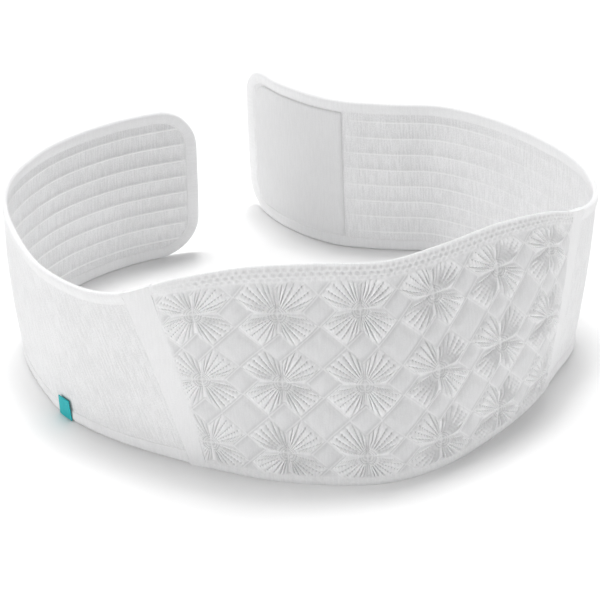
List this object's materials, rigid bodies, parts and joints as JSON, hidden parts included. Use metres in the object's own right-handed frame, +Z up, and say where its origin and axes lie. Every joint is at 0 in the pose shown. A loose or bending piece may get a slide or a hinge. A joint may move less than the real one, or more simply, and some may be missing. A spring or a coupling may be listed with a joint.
{
  "type": "maternity support belt",
  "caption": "Maternity support belt: a padded quilted front panel between two elastic wings, with a hook patch at one end, standing on edge in an open loop.",
  "frame": {"origin": "middle of the belt's bounding box, at the surface it stands on", "axes": "+Z up, -Y towards the quilted front panel, +X to the viewer's right, towards the wing with the hook patch"},
  "size_m": [0.4599, 0.4182, 0.1872],
  "materials": {
    "quilted_knit": "matt white knit over thin padding, quilted in flowers and diamonds",
    "plain_knit": "smooth matt white knit",
    "ribbed_elastic": "matt white elastic knit with fine upright ribs and eight thin lines along the inner side",
    "smooth_binding": "smooth matt white folded tape",
    "soft_hook": "matt white fine hook tape",
    "teal_tape": "plain woven teal tape"
  },
  "bodies": {
    "root": {"quilted_panel": "quilted_knit", "join_strip_left": "plain_knit", "join_strip_right": "plain_knit", "elastic_wing_left": "ribbed_elastic", "elastic_wing_right": "ribbed_elastic", "edge_binding_left": "smooth_binding", "edge_binding_right": "smooth_binding", "hook_patch": "soft_hook", "side_tag": "teal_tape"}
  },
  "joints": []
}
